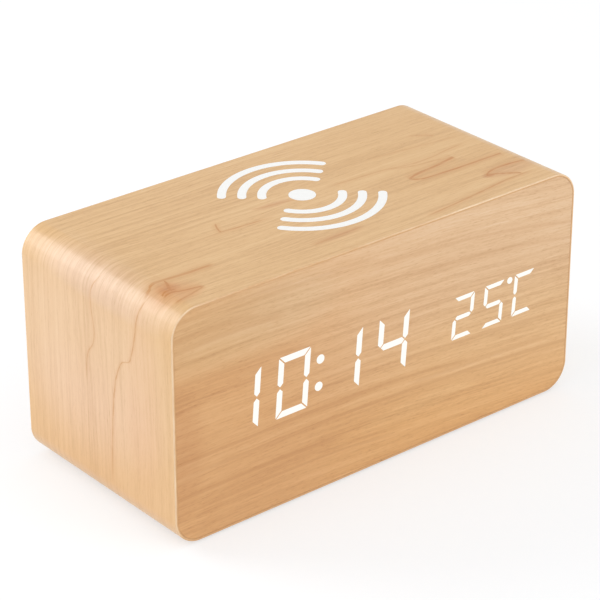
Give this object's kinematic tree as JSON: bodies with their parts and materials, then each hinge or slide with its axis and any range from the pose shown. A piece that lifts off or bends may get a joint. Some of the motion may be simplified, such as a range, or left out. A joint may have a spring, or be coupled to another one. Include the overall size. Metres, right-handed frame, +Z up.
{
  "type": "alarm clock with charger",
  "caption": "Bedside alarm clock in a round-cornered veneered wooden case, with lit segment digits behind the front veneer, push buttons behind, and a wound charging coil under the top.",
  "frame": {"origin": "centre of the clock's footprint, on the surface that its feet stand on", "axes": "+X along the width, to the right as one reads the display; +Y from the display to the rear; +Z up"},
  "size_m": [0.15, 0.07, 0.073],
  "materials": {
    "core_wood": "plain sawn fibreboard, unfinished",
    "wrap_veneer": "pale maple veneer, satin, grain along the width and over the corners",
    "face_veneer": "warm maple veneer, satin, horizontal grain",
    "foot_rubber": "matt rubber",
    "milky_sheet": "translucent diffuser sheet",
    "white_plastic": "white moulded plastic",
    "circuit_board": "green solder mask",
    "screw_steel": "zinc plated steel",
    "plated_steel": "nickel plated steel",
    "black_plastic": "black moulded plastic, fine spark texture",
    "button_plastic": "black moulded plastic, smooth",
    "coil_copper": "enamelled copper wire",
    "ferrite": "sintered ferrite, matt",
    "amber_tape": "amber film tape",
    "ribbon_grey": "flat cable insulation",
    "red_insulation": "wire insulation",
    "black_insulation": "wire insulation"
  },
  "bodies": {
    "case": {"top_board": "core_wood", "bottom_board": "core_wood", "left_end_board": "core_wood", "right_end_board": "core_wood", "front_panel": "core_wood", "rear_panel": "core_wood", "wrap_veneer": "wrap_veneer", "front_veneer": "face_veneer", "rear_veneer": "face_veneer", "foot_pad_front_left": "foot_rubber", "foot_pad_front_right": "foot_rubber", "foot_pad_rear_left": "foot_rubber", "foot_pad_rear_right": "foot_rubber", "display_diffuser": "milky_sheet", "display_reflector": "white_plastic", "display_board": "circuit_board", "display_screw_1": "screw_steel", "display_screw_2": "screw_steel", "display_screw_3": "screw_steel", "display_screw_4": "screw_steel", "control_plate": "black_plastic", "plate_screw_left": "screw_steel", "plate_screw_right": "screw_steel", "set_switch_housing": "black_plastic", "up_switch_housing": "black_plastic", "down_switch_housing": "black_plastic", "main_board": "circuit_board", "main_board_screw_left": "screw_steel", "main_board_screw_right": "screw_steel", "usb_shell": "plated_steel", "usb_insert": "black_plastic", "buzzer": "black_plastic", "temperature_sensor": "black_plastic", "coin_cell_holder": "black_plastic", "coin_cell": "plated_steel", "cell_clip": "plated_steel", "charging_coil": "coil_copper", "ferrite_shield": "ferrite", "coil_tape": "amber_tape", "charger_board": "circuit_board", "charger_spacer_1": "white_plastic", "charger_spacer_2": "white_plastic", "charger_screw_1": "screw_steel", "charger_screw_2": "screw_steel", "display_ribbon": "ribbon_grey", "power_lead_positive": "red_insulation", "power_lead_negative": "black_insulation"},
    "set_key": {"set_button": "button_plastic", "set_switch_plunger": "white_plastic"},
    "up_key": {"up_button": "button_plastic", "up_switch_plunger": "white_plastic"},
    "down_key": {"down_button": "button_plastic", "down_switch_plunger": "white_plastic"}
  },
  "joints": [
    {"name": "set_press", "type": "slide", "parent": "case", "child": "set_key", "axis": [0, -1, 0], "range_m": [0, 0.0005], "stiffness_N_per_m": 2400},
    {"name": "up_press", "type": "slide", "parent": "case", "child": "up_key", "axis": [0, -1, 0], "range_m": [0, 0.0005], "stiffness_N_per_m": 2400},
    {"name": "down_press", "type": "slide", "parent": "case", "child": "down_key", "axis": [0, -1, 0], "range_m": [0, 0.0005], "stiffness_N_per_m": 2400}
  ]
}
